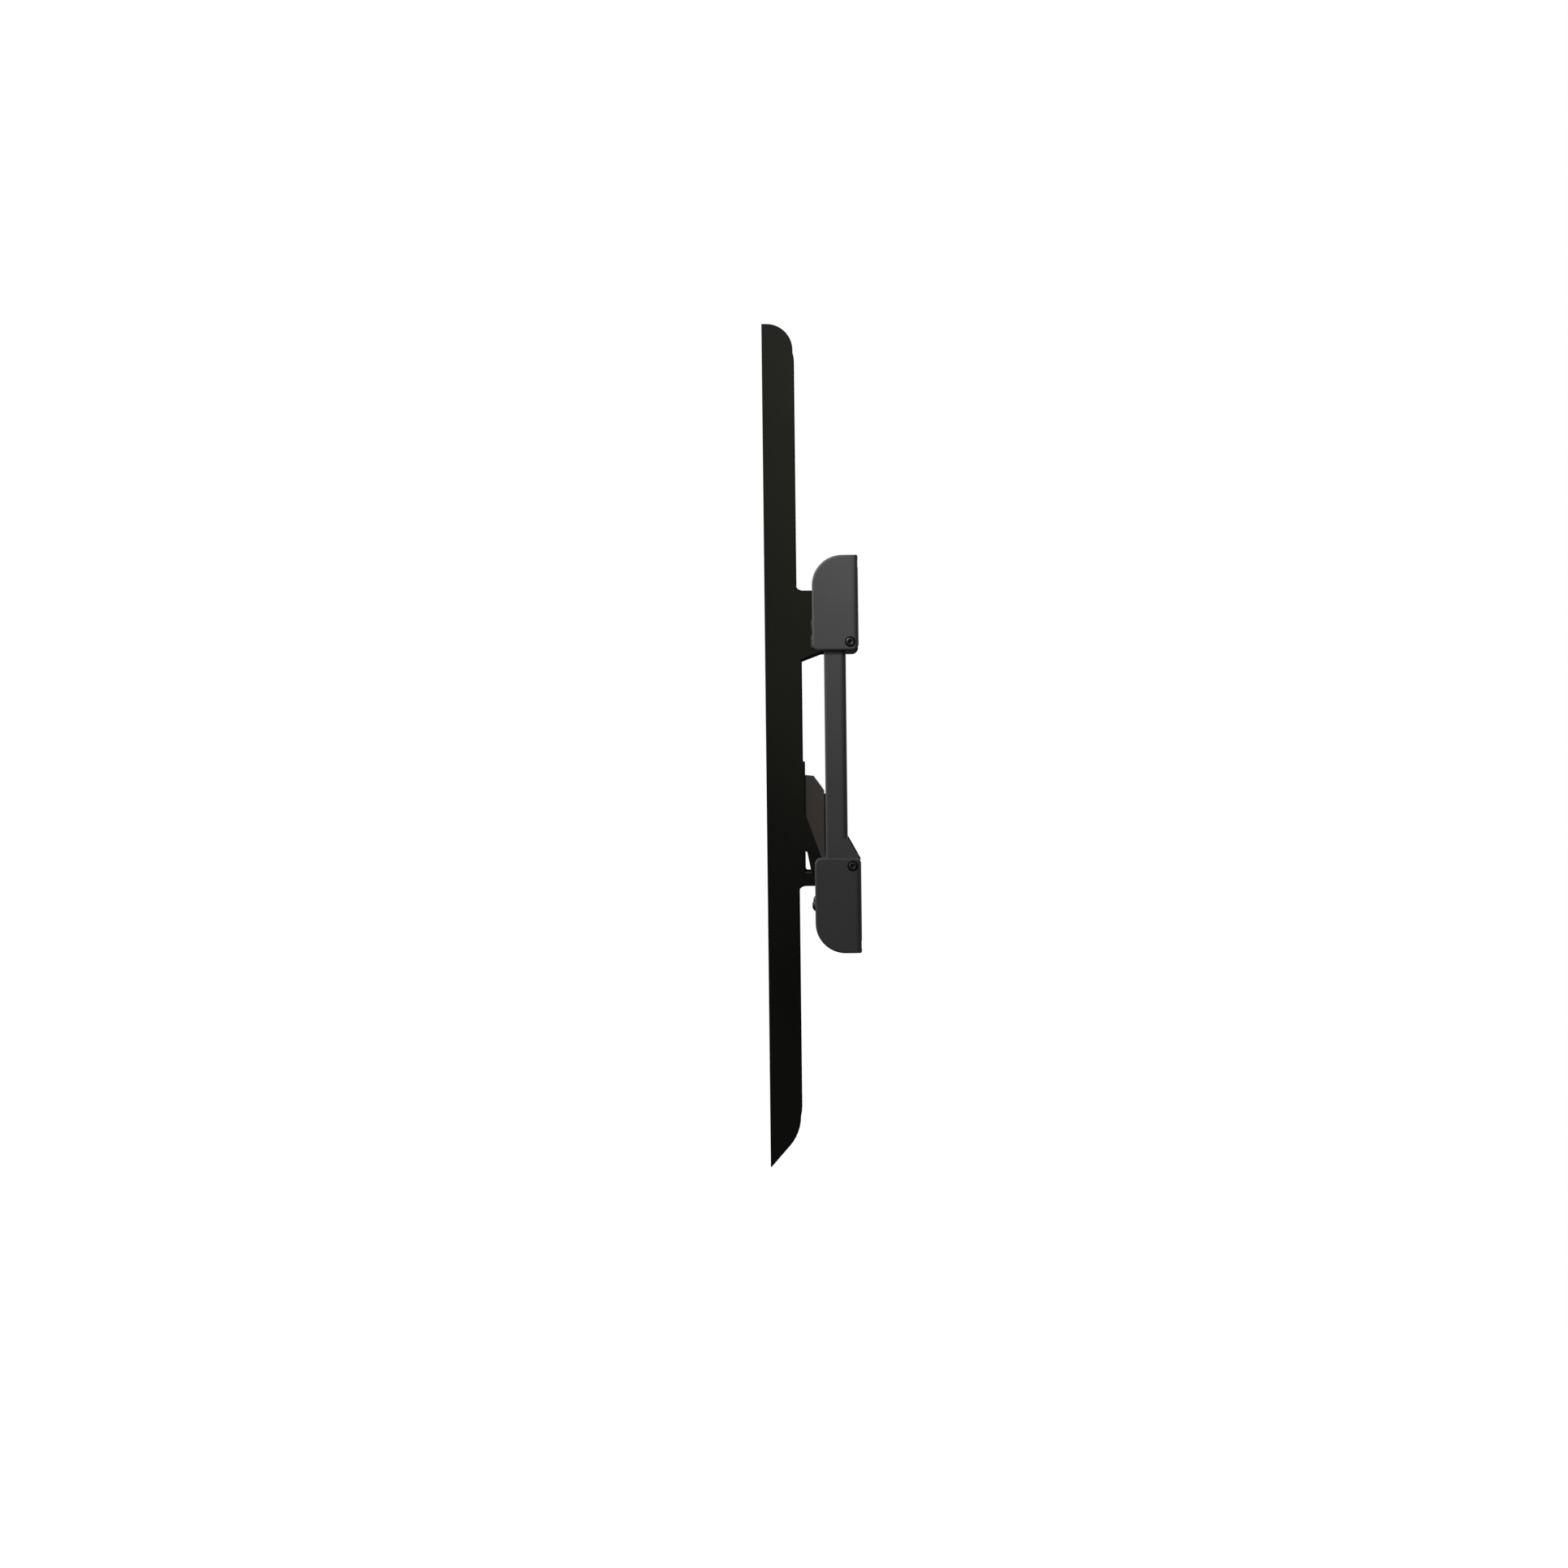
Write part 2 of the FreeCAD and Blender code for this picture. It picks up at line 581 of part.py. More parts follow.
def head_carrier():
    """The head's rear plate: hinge plates for the outer arms and two lugs for the pan pin."""
    carrier_back = "-rail_depth-bracket_gauge-0.8"
    web = block("carrier_web", ("-bracket_half", "bracket_half"),
                ("-carrier_front", "-carrier_front+carrier_gauge"), ("-carrier_bottom", "-plate_low"))
    low = hinge_plate("carrier_low_plate", ("-plate_high-plate_thick", "-plate_high"), carrier_back)
    high = hinge_plate("carrier_high_plate", ("-plate_low-plate_thick", "-plate_low"), carrier_back)
    pieces = [web, low, high]
    trim = block("carrier_trim", ("-bracket_half-1", "bracket_half+1"),
                 ("-carrier_front-1", "-pivot_y-plate_end-0.1"), ("-carrier_top", "0"))
    for order, z in enumerate((("-carrier_top-pan_lug_thick", "-carrier_top"),
                               ("-pan_lug_low", "-pan_lug_low+pan_lug_thick"))):
        pieces.append(block("pan_lug%d" % order, ("-pan_lug_half", "pan_lug_half"),
                            ("-pan_y", "-carrier_front+1"), z))
        pieces.append(rod("pan_lug_end%d" % order, "z", z, ("0", "-pan_y"), "pan_lug_end"))
    holes = pin_holes("carrier_hole", ("-plate_high-plate_thick-1", "-plate_low+1"), "pin_radius")
    holes.append(rod("carrier_pan_hole", "z", ("-pan_lug_low-1", "-carrier_top+1"), ("0", "-pan_y"), "pan_pin"))
    holes.append(trim)
    keep("head_carrier", less("head_carrier", join("head_carrier_folds", pieces), holes))


def pan_pivot():
    """The upright pin that the head swivels on, with a bush at each end of the yoke's barrel."""
    centre = ("0", "-pan_y")
    shank = rod("pan_pin_shank", "z", ("-pan_lug_low-1.2", "-carrier_top"), centre, "pan_pin")
    head = rod("pan_pin_head", "z", ("-carrier_top", "-carrier_top+pan_head_tall"), centre,
               "pan_lug_end-0.6")
    foot = rod("pan_pin_foot", "z", ("-pan_lug_low-pan_foot_tall", "-pan_lug_low"), centre, "pan_lug_end-0.8")
    keep("pan_pin", join("pan_pin", [shank, head, foot]))
    bushes = []
    for order, span in enumerate((("barrel_high-pan_bush_long", "barrel_high"),
                                  ("barrel_low", "barrel_low+pan_bush_long"))):
        sleeve = rod("pan_bush_sleeve%d" % order, "z", span, centre, "pan_pin+run_gap+pan_bush_wall")
        bore = rod("pan_bush_bore%d" % order, "z", span, centre, "pan_pin+run_gap")
        bushes.append(less("pan_bush%d" % order, sleeve, [bore]))
    keep("pan_bushes", group("pan_bushes", bushes))


def pan_yoke():
    """Two cheeks with the tilt eyes, a front plate and the barrel on the pan pin."""
    pieces = []
    holes = []
    for side_name, side in SIDES.items():
        label = "yoke_%s_cheek" % side_name
        pieces.append(profile(label, "x", across(side, "yoke_half-yoke_gauge", "yoke_half"), [
            ("-yoke_front", "-yoke_top"), ("-yoke_back-5.7", "-yoke_top-0.5"),
            ("-yoke_back-1.6", "-yoke_top-6.1"),
            ("-yoke_back", "-yoke_top-8.6"), ("-yoke_back", "-carrier_bottom-0.8"),
            ("-tilt_y+tilt_eye", "-tilt_z+5"), ("-tilt_y+tilt_eye", "-tilt_z"),
            ("-tilt_y-tilt_eye", "-tilt_z"), ("-tilt_y-tilt_eye", "-tilt_z+2.6"),
            ("-yoke_back-6.8", "-tilt_z+8.4"), ("-yoke_front", "-tilt_z+23.8")]))
        span = across(side, "yoke_half-yoke_gauge", "yoke_half")
        pieces.append(rod(label + "_eye", "x", span, ("-tilt_y", "-tilt_z"), "tilt_eye"))
        holes.append(rod(label + "_hole", "x", span, ("-tilt_y", "-tilt_z"), "tilt_pin"))
    pieces.append(block("yoke_front_plate", ("-yoke_half+1", "yoke_half-1"),
                        ("-yoke_front", "-yoke_front+yoke_plate"), ("barrel_low+1.7", "barrel_high-1.7")))
    pieces.append(rod("yoke_barrel", "z", ("barrel_low", "barrel_high"), ("0", "-pan_y"), "pan_barrel"))
    holes.append(rod("yoke_bore", "z", ("barrel_low", "barrel_high"), ("0", "-pan_y"),
                     "pan_pin+run_gap+pan_bush_wall"))
    keep("pan_yoke", less("pan_yoke", join("pan_yoke_folds", pieces), holes))


def tilt_pivots():
    """Short tilt bolts, one each side, with a nylon friction washer under the frame plate."""
    bolts, washers = [], []
    for side_name, side in SIDES.items():
        centre = ("-tilt_y", "-tilt_z")
        label = "tilt_bolt_" + side_name
        shank = rod(label + "_shank", "x",
                    across(side, "yoke_half-yoke_gauge", "tilt_head_x"), centre, "tilt_pin")
        head = rod(label + "_head", "x",
                   across(side, "tilt_head_x", "tilt_head_x+tilt_head_tall"), centre, "tilt_eye-0.4")
        nut = rod(label + "_nut", "x",
                  across(side, "yoke_half-yoke_gauge-tilt_nut_tall", "yoke_half-yoke_gauge"), centre,
                  "tilt_eye-0.4")
        bolts.append(join(label, [shank, head, nut]))
        label = "tilt_washer_" + side_name
        span = across(side, "yoke_half", "frame_half-0.1")
        disc = rod(label + "_disc", "x", span, centre, "tilt_eye-0.2")
        hole = rod(label + "_hole", "x", span, centre, "tilt_pin+snug_gap")
        washers.append(less(label, disc, [hole]))
    keep("tilt_bolts", group("tilt_bolts", bolts))
    keep("tilt_washers", group("tilt_washers", washers))


def frame_side(side_name, side):
    """An upright side plate of the frame, from the tilt eye to both television rails."""
    name = side_name + "_frame_side"
    span = across(side, "frame_half", "frame_half+frame_gauge")
    plate = profile(name + "_plate", "x", span, [
        ("-frame_front", "-tilt_z-25", "4"), ("-frame_back", "-tilt_z-25", "4"),
        ("-frame_back", "-tilt_z-3.2"), ("-tilt_y", "-tilt_z-3.2"),
        ("-tilt_y", "-tilt_z+3"), ("-frame_back", "-tilt_z+3"),
        ("-frame_back", "upper_rail_z-13", "5"), ("-upper_rail_y", "upper_rail_z-2"),
        ("-upper_rail_y", "upper_rail_z+tv_rail_tall", "1"),
        ("-frame_front", "upper_rail_z+tv_rail_tall", "4")])
    eye = rod(name + "_eye", "x", span, ("-tilt_y", "-tilt_z"), "tilt_eye")
    hole = rod(name + "_hole", "x", span, ("-tilt_y", "-tilt_z"), "tilt_pin+run_gap")
    upper = block(name + "_upper", span, ("-upper_rail_y-tv_rail_thick", "1"),
                  ("upper_rail_z", "upper_rail_z+tv_rail_tall+1"))
    lower = block(name + "_lower", span, ("-lower_rail_y-tv_rail_thick", "-lower_rail_y"),
                  ("-lower_rail_z", "-lower_rail_z+lower_rail_tall"))
    keep(name, less(name, join(name + "_folds", [plate, eye]), [hole, upper, lower]))


def television_rails():
    """The face plate and the two flat rails that the television brackets hook on."""
    plate = block("face_plate_blank", ("-frame_half", "frame_half"),
                  ("-frame_front", "-frame_front+frame_gauge"), ("-face_bottom", "face_top"))
    window = block("face_plate_window", ("-face_window", "face_window"),
                   ("-frame_front-1", "-frame_front+frame_gauge+1"), ("-face_bottom+26", "face_top-26"))
    keep("face_plate", less("face_plate", plate, [window]))
    length = ("-tv_rail_half", "tv_rail_half")
    keep("upper_tv_rail", block("upper_tv_rail", length, ("-upper_rail_y-tv_rail_thick", "-upper_rail_y"),
                                ("upper_rail_z", "upper_rail_z+tv_rail_tall")))
    keep("lower_tv_rail", block("lower_tv_rail", length, ("-lower_rail_y-tv_rail_thick", "-lower_rail_y"),
                                ("-lower_rail_z", "-lower_rail_z+lower_rail_tall")))
    plugs = []
    for side_name, side in SIDES.items():
        for level, y, z, tall in (("upper", "-upper_rail_y", "upper_rail_z", "+tv_rail_tall"),
                                  ("lower", "-lower_rail_y", "-lower_rail_z", "+lower_rail_tall")):
            plugs.append(block("rail_plug_%s_%s" % (level, side_name),
                               across(side, "tv_rail_half", "tv_rail_half+plug_long"),
                               (y + "-tv_rail_thick-plug_wall", y + "+plug_wall"),
                               (z + "-plug_wall", z + tall + "+plug_wall")))
    keep("rail_end_plugs", group("rail_end_plugs", plugs))


def hooks(side_name, side):
    """The hooks that slide on the rails, with the keys that guide the bracket up and down."""
    span = across(side, "hook_in", "hook_out")
    name = side_name + "_upper_hook"
    rear = "-upper_rail_y+slide_gap"
    front = "-upper_rail_y-tv_rail_thick-slide_gap"
    block_front = block(name + "_front", span, ("-knob_y-jack_radius-1.2", rear + "+hook_leg"),
                        ("upper_rail_z+3", "upper_rail_z+tv_rail_tall+slide_gap+3"))
    rear_leg = block(name + "_leg", span, (rear, rear + "+hook_leg"), ("upper_rail_z-2", "upper_rail_z+8"))
    notch = block(name + "_notch", (span[0] + "-1", span[1] + "+1"), (front, rear),
                  ("upper_rail_z-4", "upper_rail_z+tv_rail_tall+slide_gap"))
    jack = rod(name + "_jack_hole", "z", ("upper_rail_z", "upper_rail_z+20"),
               ("%d*hook_x" % side, "-knob_y"), "jack_radius+run_gap")
    keep(name, less(name, join(name + "_folds", [block_front, rear_leg]), [notch, jack]))
    name = side_name + "_lower_hook"
    rear = "-lower_rail_y+slide_gap"
    top = block(name + "_top", span, ("-lower_rail_y-tv_rail_thick-1.2", rear + "+low_hook_leg"),
                ("-lower_rail_z+lower_rail_tall+slide_gap", "-cap_near-2"))
    leg = block(name + "_leg", span, (rear, rear + "+low_hook_leg"), ("-safety_z-3.6", "-cap_near-3"))
    bore = rod(name + "_bore", "y", (rear + "-1", rear + "+low_hook_leg+1"),
               ("%d*hook_x" % side, "-safety_z"), "safety_shank+run_gap")
    keep(name, less(name, join(name + "_folds", [top, leg]), [bore]))
    keys = []
    for order, (y, z) in enumerate((("-key_y", "key_z"), ("-key_y", "-key_low_z"))):
        label = "%s_key%d" % (side_name, order)
        shank = rod(label + "_shank", "x", across(side, "web_in-0.6", "hook_in"), (y, z), "key_radius")
        head = rod(label + "_head", "x", across(side, "web_in-2.8", "web_in-0.6"), (y, z), "key_head")
        keys.append(join(label, [shank, head]))
    keep(side_name + "_guide_keys", group(side_name + "_guide_keys", keys))


def level_knob(side_name, side):
    """A knurled knob on a jack screw that raises or lowers the bracket."""
    name = side_name + "_level_knob"
    centre = ("%d*hook_x" % side, "-knob_y")
    wheel = rod(name + "_wheel", "z", ("knob_low", "knob_high"), centre, "knob_radius")
    screw = rod(name + "_screw", "z", ("knob_high", "upper_rail_z+tv_rail_tall+2"), centre, "jack_radius")
    keep(name, join(name, [wheel, screw]))


def safety_screw(side_name, side):
    """A pointed screw that passes under the lower rail, so that the bracket can't lift off."""
    name = side_name + "_safety_screw"
    centre = ("%d*hook_x" % side, "-safety_z")
    base = "-safety_tip+safety_point_tall"
    point = cone(name + "_point", "y", ("-safety_tip", base), centre, "safety_point", "safety_head")
    collar = rod(name + "_collar", "y", (base, base + "+safety_collar"), centre, "safety_head")
    shank = rod(name + "_shank", "y", (base + "+safety_collar", "-lower_rail_y+7"), centre, "safety_shank")
    keep(name, join(name, [point, collar, shank]))


def vesa_bracket(side_name, side):
    """The upright bracket that is screwed to the back of the television."""
    name = side_name + "_vesa_bracket"
    tab_back = "-lower_rail_y+1.2"
    web = profile(name + "_web", "x", across(side, "web_in", "web_in+tv_gauge"), [
        ("-tv_face", "-tv_bottom"), ("-tv_face+0.5", "-tv_bottom"),
        ("-bracket_back", "-tv_bottom+tail_rise", "tail_bend"), ("-bracket_back", "-tilt_z-3.5", "3.9"),
        ("-lower_rail_y-4", "-tilt_z-3.5"), ("-lower_rail_y-4", "-tilt_z+0.4"), (tab_back, "-tilt_z+0.4"),
        (tab_back, "-cap_near-0.5"), ("-yoke_back-1.5", "-cap_near-0.5"),
        ("-yoke_front-0.1", "-tilt_z+36.3"), ("-yoke_front-0.1", "-4"), ("-yoke_front-1.2", "-4", "0.5"),
        ("-yoke_front-1.2", "tab_bottom"), ("-yoke_back-1.2", "tab_bottom+3.9"),
        ("-upper_rail_y-tv_rail_thick-0.8", "tab_bottom+3.9"), ("-upper_rail_y-tv_rail_thick-0.8", "tab_top"),
        ("-bracket_back", "tab_top", "4"), ("-bracket_back", "tv_top", "crown_bend"), ("-tv_face", "tv_top")])
    flange = block(name + "_flange", across(side, "flange_in", "web_in+tv_gauge"),
                   ("-tv_face", "-tv_face+tv_gauge"), ("-tv_bottom+2", "tv_top"))
    lip = block(name + "_lip", across(side, "flange_in", "flange_in+tv_gauge"),
                ("-tv_face", "-tv_face+lip_deep"), ("-tv_bottom+12", "tv_top-8"))
    tools = []
    window = profile(name + "_window", "x", across(side, "web_in-1", "web_in+tv_gauge+1"), [
        ("-yoke_front-0.3", "-tilt_z+14.9", "0.5"), ("-yoke_front-0.3", "-tilt_z+3.5", "1.2"),
        ("-yoke_front+3.3", "-tilt_z+3.5"), ("-yoke_front+1.1", "-tilt_z+14.9", "0.5")])
    tools.append(window)
    for label, z in (("top", "vesa_top"), ("bottom", "-vesa_bottom")):
        tools.append(rod("%s_%s_hole" % (name, label), "y", ("-tv_face-1", "-tv_face+tv_gauge+1"),
                         ("%d*vesa_half" % side, z), "vesa_hole"))
    for order in range(-3, 4):
        middle = "%d*vesa_half/4+vesa_raise" % order
        tools.append(block("%s_slot%d" % (name, order + 3),
                           across(side, "vesa_half-vesa_slot_half", "vesa_half+vesa_slot_half"),
                           ("-tv_face-1", "-tv_face+tv_gauge+1"),
                           (middle + "-vesa_half*0.08", middle + "+vesa_half*0.08")))
    for label, y, z in (("key_top", "-key_y", "key_z"), ("key_low", "-key_y", "-key_low_z")):
        tools.append(block("%s_%s" % (name, label), across(side, "web_in-1", "web_in+tv_gauge+1"),
                           (y + "-key_radius-key_gap", y + "+key_radius+key_gap"),
                           (z + "-key_radius-level_travel-0.2", z + "+key_radius+level_travel+0.2")))
    keep(name, less(name, join(name + "_folds", [web, flange, lip]), tools))


def build():
    wall_rail("upper_wall_rail", 1)
    wall_rail("lower_wall_rail", -1)
    centre_bracket()
    end_cap_screws()
    pivot_pins("wall_pivot_pins", 1)
    pivot_washers("wall_pivot_washers", 1)
    head_carrier()
    pivot_pins("head_pivot_pins", -1)
    pivot_washers("head_pivot_washers", -1)
    pan_pivot()
    pan_yoke()
    tilt_pivots()
    television_rails()
    for side_name, side in SIDES.items():
        side_post(side_name, side)
        end_cap(side_name, side, "upper", 1)
        end_cap(side_name, side, "lower", -1)
        arm(side_name, side, "inner", 1)
        arm(side_name, side, "outer", -1)
        elbow(side_name, side)
        frame_side(side_name, side)
        hooks(side_name, side)
        level_knob(side_name, side)
        safety_screw(side_name, side)
        vesa_bracket(side_name, side)


def check_and_write():
    doc.recompute()
    for item in doc.Objects:
        if "Invalid" in item.State or "Error" in item.State:
            raise RuntimeError("%s failed: %s" % (item.Name, item.State))
    os.makedirs("parts", exist_ok=True)
    for name, piece in NODES.items():
        if piece.Shape.isNull() or not piece.Shape.isValid():
            raise RuntimeError(name + " has no valid shape")
    for name, piece in NODES.items():
        piece.Shape.exportStep("parts/%s.step" % name)
        print("%-28s solids %d volume %.0f" % (name, len(piece.Shape.Solids), piece.Shape.Volume))


build()
check_and_write()
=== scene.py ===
import json
import math

import bmesh
import bpy
from mathutils import Matrix, Vector


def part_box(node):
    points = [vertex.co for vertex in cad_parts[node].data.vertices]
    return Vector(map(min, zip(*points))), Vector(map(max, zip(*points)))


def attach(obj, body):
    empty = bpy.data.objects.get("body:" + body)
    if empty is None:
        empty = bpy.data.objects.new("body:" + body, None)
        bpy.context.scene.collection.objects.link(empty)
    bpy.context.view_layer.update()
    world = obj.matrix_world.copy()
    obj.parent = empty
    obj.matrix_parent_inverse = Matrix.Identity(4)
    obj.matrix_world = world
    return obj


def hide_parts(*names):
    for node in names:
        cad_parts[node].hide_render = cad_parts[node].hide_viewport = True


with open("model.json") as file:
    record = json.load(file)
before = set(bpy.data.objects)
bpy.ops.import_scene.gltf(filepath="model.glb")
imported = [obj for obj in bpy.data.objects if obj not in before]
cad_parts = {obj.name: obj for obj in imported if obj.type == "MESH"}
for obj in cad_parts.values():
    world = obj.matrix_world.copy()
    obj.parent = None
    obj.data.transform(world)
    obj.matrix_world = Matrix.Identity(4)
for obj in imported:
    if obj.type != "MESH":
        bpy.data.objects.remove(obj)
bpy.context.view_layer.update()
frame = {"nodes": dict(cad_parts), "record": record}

MM = 0.001
RECORD = frame["record"]
NODE_SLOTS = {entry["node"]: entry["material_slot"] for entry in RECORD["subparts"]}
SIDES = {"left": -1, "right": 1}


# ---------------------------------------------------------------- materials

def new_material(name):
    """An empty node material with its shader and its object coordinates."""
    material = bpy.data.materials.new(name)
    material.use_nodes = True
    tree = material.node_tree
    shader = tree.nodes["Principled BSDF"]
    place = tree.nodes.new("ShaderNodeTexCoord")
    return material, tree, shader, place.outputs["Object"]


def noise(tree, place, scale, detail=3.0, stretch=(1, 1, 1)):
    """Noise in object space; scale is in waves per metre."""
    mapping = tree.nodes.new("ShaderNodeMapping")
    mapping.inputs["Scale"].default_value = stretch
    tree.links.new(place, mapping.inputs["Vector"])
    texture = tree.nodes.new("ShaderNodeTexNoise")
    texture.inputs["Scale"].default_value = scale
    texture.inputs["Detail"].default_value = detail
    tree.links.new(mapping.outputs["Vector"], texture.inputs["Vector"])
    return texture.outputs["Fac"]


def remap(tree, value, low, high, start=0.3, end=0.7):
    """A value between start and end, mapped to low and high."""
    node = tree.nodes.new("ShaderNodeMapRange")
    node.inputs["From Min"].default_value = start
    node.inputs["From Max"].default_value = end
    node.inputs["To Min"].default_value = low
    node.inputs["To Max"].default_value = high
    tree.links.new(value, node.inputs["Value"])
    return node.outputs["Result"]


def mix_colours(tree, value, first, second):
    """Two colours mixed by a value."""
    node = tree.nodes.new("ShaderNodeMix")
    node.data_type = "RGBA"
    node.inputs["A"].default_value = (*first, 1)
    node.inputs["B"].default_value = (*second, 1)
    tree.links.new(value, node.inputs["Factor"])
    return node.outputs["Result"]


def bump(tree, shader, layers):
    """Stacked bumps; each layer is (height, distance in metres, strength)."""
    previous = None
    for height, distance, strength in layers:
        node = tree.nodes.new("ShaderNodeBump")
        node.inputs["Strength"].default_value = strength
        node.inputs["Distance"].default_value = distance
        tree.links.new(height, node.inputs["Height"])
        if previous:
            tree.links.new(previous, node.inputs["Normal"])
        previous = node.outputs["Normal"]
    tree.links.new(previous, shader.inputs["Normal"])


def powder_coat(name, colour, lighter, roughness, gloss):
    """Satin powder coat: a fine orange peel with a faint mottle, rubbed patches and specks of dust."""
    material, tree, shader, place = new_material(name)
    peel = noise(tree, place, 900, 2)
    grain = noise(tree, place, 3600, 2)
    mottle = remap(tree, noise(tree, place, 14, 4), 0, 1)
    paint = mix_colours(tree, mottle, colour, lighter)
    dust = remap(tree, noise(tree, place, 2100, 2), 0, 0.5, 0.70, 0.76)
    dusty = mix_colours(tree, dust, colour, tuple(2.2 * value for value in lighter))
    tree.links.new(paint, dusty.node.inputs["A"])
    tree.links.new(dusty, shader.inputs["Base Color"])
    rubbed = remap(tree, noise(tree, place, 60, 5), roughness - 0.06, roughness + 0.08)
    tree.links.new(rubbed, shader.inputs["Roughness"])
    bump(tree, shader, [(peel, 0.00012, 0.35), (grain, 0.00003, 0.3)])
    shader.inputs["Specular IOR Level"].default_value = gloss
    return material


def moulded_plastic(name, colour, lighter, roughness=0.5):
    """Moulded plastic with a spark-eroded grain."""
    material, tree, shader, place = new_material(name)
    grain = noise(tree, place, 2300, 3)
    pits = noise(tree, place, 5200, 2)
    mottle = noise(tree, place, 22, 3)
    tree.links.new(mix_colours(tree, remap(tree, mottle, 0, 1), colour, lighter), shader.inputs["Base Color"])
    tree.links.new(remap(tree, noise(tree, place, 90, 4), roughness - 0.05, roughness + 0.07),
                   shader.inputs["Roughness"])
    bump(tree, shader, [(grain, 0.00006, 0.5), (pits, 0.00003, 0.4)])
    shader.inputs["Specular IOR Level"].default_value = 0.3
    return material


def turned_metal(name, colour, lighter, roughness, stretch=(1, 1, 40)):
    """Plated or sintered metal with fine tool marks."""
    material, tree, shader, place = new_material(name)
    marks = noise(tree, place, 900, 3, stretch)
    stain = noise(tree, place, 120, 4)
    tree.links.new(mix_colours(tree, remap(tree, stain, 0, 1), colour, lighter), shader.inputs["Base Color"])
    tree.links.new(remap(tree, stain, roughness - 0.07, roughness + 0.09), shader.inputs["Roughness"])
    shader.inputs["Metallic"].default_value = 1.0
    bump(tree, shader, [(marks, 0.00003, 0.35)])
    return material


def make_materials():
    """One material for each slot of the record."""
    return {
        "frame_paint": powder_coat("satin_charcoal_paint", (0.081, 0.077, 0.079), (0.097, 0.093, 0.095),
                                   0.5, 0.25),
        "bracket_paint": powder_coat("satin_black_paint", (0.0108, 0.0110, 0.0082), (0.0138, 0.0140, 0.0108),
                                     0.6, 0.1),
        "yoke_paint": powder_coat("head_paint", (0.082, 0.073, 0.064), (0.096, 0.086, 0.076), 0.5, 0.2),
        "cap_plastic": moulded_plastic("cover_plastic", (0.080, 0.078, 0.078), (0.093, 0.090, 0.091), 0.6),
        "black_plastic": moulded_plastic("black_plastic", (0.012, 0.012, 0.012), (0.018, 0.018, 0.018), 0.5),
        "hook_plastic": moulded_plastic("hook_nylon", (0.014, 0.014, 0.013), (0.020, 0.020, 0.019), 0.5),
        "bright_steel": turned_metal("zinc_plate", (0.42, 0.42, 0.43), (0.55, 0.55, 0.56), 0.33),
        "dark_steel": turned_metal("black_oxide", (0.045, 0.044, 0.045), (0.075, 0.074, 0.075), 0.4),
        "nylon": moulded_plastic("white_nylon", (0.62, 0.61, 0.57), (0.70, 0.69, 0.66), 0.38),
        "bronze": turned_metal("sintered_bronze", (0.33, 0.20, 0.09), (0.45, 0.29, 0.14), 0.42),
    }


# ---------------------------------------------------------------- helpers for shapes

def soften(piece, width=0.3, segments=2):
    """Small rounded edges, as folded and cut steel has."""
    weld = piece.modifiers.new("weld", "WELD")
    weld.merge_threshold = 0.00001
    bevel = piece.modifiers.new("edges", "BEVEL")
    bevel.width = width * MM
    bevel.segments = segments
    bevel.limit_method = "ANGLE"
    bevel.angle_limit = math.radians(50)
    bevel.harden_normals = False
    for face in piece.data.polygons:
        face.use_smooth = True
    normals = piece.modifiers.new("normals", "WEIGHTED_NORMAL")
    normals.keep_sharp = False
    normals.weight = 80


def paint_nodes(materials):
    """Every CAD node gets its slot's material and softened edges."""
    for name, piece in frame["nodes"].items():
        piece.data.materials.clear()
        piece.data.materials.append(materials[NODE_SLOTS[name]])
        soften(piece, 0.15 if "bushes" in name or "washer" in name else 0.3)


# ---------------------------------------------------------------- turned pieces

def middle(node):
    """The centre of a node's box, in metres."""
    low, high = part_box(node)
    return (Vector(low) + Vector(high)) / 2


def smooth_piece(name, mesh, angle=35):
    """An object from a bmesh, smooth except at its sharp edges."""
    data = bpy.data.meshes.new(name)
    bmesh.ops.recalc_face_normals(mesh, faces=mesh.faces)
    for edge in mesh.edges:
        edge.smooth = edge.is_manifold and edge.calc_face_angle(0) < math.radians(angle)
    for face in mesh.faces:
        face.smooth = True
    mesh.to_mesh(data)
    mesh.free()
    piece = bpy.data.objects.new(name, data)
    bpy.context.scene.collection.objects.link(piece)
    return piece


def plain(turn, height):
    return 1.0


def hexagon(turn, height):
    """The share of the corner radius at a place on a hexagon's outline."""
    return math.cos(math.pi / 6) / math.cos(((turn * 6) % 1 - 0.5) * math.pi / 3)


def knurl(teeth, depth):
    """Straight knurling; depth is a share of the radius."""
    return lambda turn, height: 1 - depth * abs(2 * ((turn * teeth) % 1) - 1)


def thread(pitch, depth):
    """A right-hand thread; pitch is in millimetres."""
    return lambda turn, height: 1 - depth * abs(2 * ((height / pitch - turn) % 1) - 1)


def add_turned(mesh, place, axis, outline, steps=48):
    """Add a closed turned solid. The outline lists (height, radius, form) in millimetres from place."""
    turned = Vector(axis).to_track_quat("Z", "Y").to_matrix()
    rings = []
    for height, radius, form in outline:
        ring = []
        for step in range(steps):
            turn = step / steps
            reach = radius * form(turn, height)
            spot = Vector((reach * math.cos(math.tau * turn), reach * math.sin(math.tau * turn), height))
            ring.append(mesh.verts.new(Vector(place) + turned @ spot * MM))
        rings.append(ring)
    for low, high in zip(rings, rings[1:]):
        for step in range(steps):
            after = (step + 1) % steps
            mesh.faces.new((low[step], low[after], high[after], high[step]))
    mesh.faces.new(rings[0][::-1])
    mesh.faces.new(rings[-1])


def along(low, high, radius, form=plain, count=1):
    """Rings of one radius from one height to another."""
    return [(low + (high - low) * step / count, radius, form) for step in range(count + 1)]


